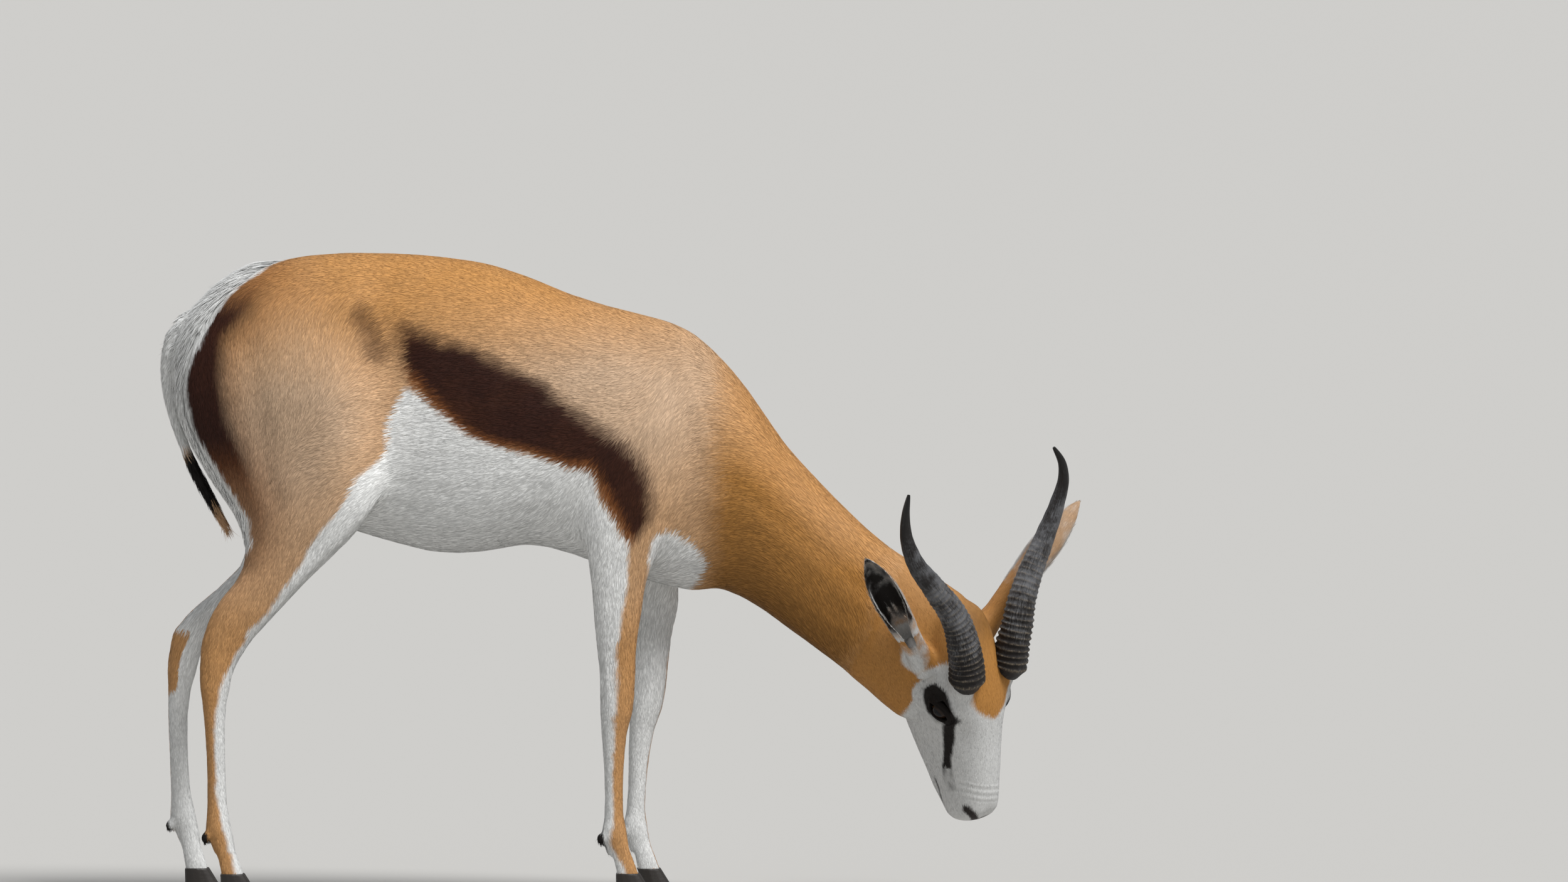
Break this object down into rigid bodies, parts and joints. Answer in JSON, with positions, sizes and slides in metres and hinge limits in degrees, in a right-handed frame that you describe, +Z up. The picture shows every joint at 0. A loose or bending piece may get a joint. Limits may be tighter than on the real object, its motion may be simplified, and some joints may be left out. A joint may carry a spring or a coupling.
{
  "type": "springbok",
  "caption": "Still life-size springbok ram standing with its head lowered to graze and turned to its right, with ringed lyre-shaped horns, upright ears and a thin tufted tail.",
  "frame": {"origin": "middle of the bounding box's bottom, on the ground under the animal", "axes": "+X towards the chest and head, +Y to the animal's left, +Z up"},
  "size_m": [1.1504, 0.3024, 0.8067],
  "materials": {
    "coat": "short flat hair, rufous brown above, dark brown flank band, white belly, rump and face",
    "horn": "ringed dark grey keratin with fine lengthwise grain",
    "hoof": "smooth black keratin",
    "eye": "wet, nearly black"
  },
  "bodies": {
    "root": {"torso": "coat", "neck": "coat", "head": "coat", "ear_right": "coat", "ear_left": "coat", "tail": "coat", "foreleg_right_upper": "coat", "foreleg_right_lower": "coat", "foreleg_left_upper": "coat", "foreleg_left_lower": "coat", "hindleg_right_upper": "coat", "hindleg_right_lower": "coat", "hindleg_left_upper": "coat", "hindleg_left_lower": "coat", "croup_crest": "coat", "horn_left": "horn", "horn_right": "horn", "hoof_foreleg_right_left": "hoof", "hoof_foreleg_right_right": "hoof", "hoof_foreleg_left_left": "hoof", "hoof_foreleg_left_right": "hoof", "hoof_hindleg_right_left": "hoof", "hoof_hindleg_right_right": "hoof", "hoof_hindleg_left_left": "hoof", "hoof_hindleg_left_right": "hoof", "eye_left": "eye", "eye_right": "eye"}
  },
  "joints": []
}
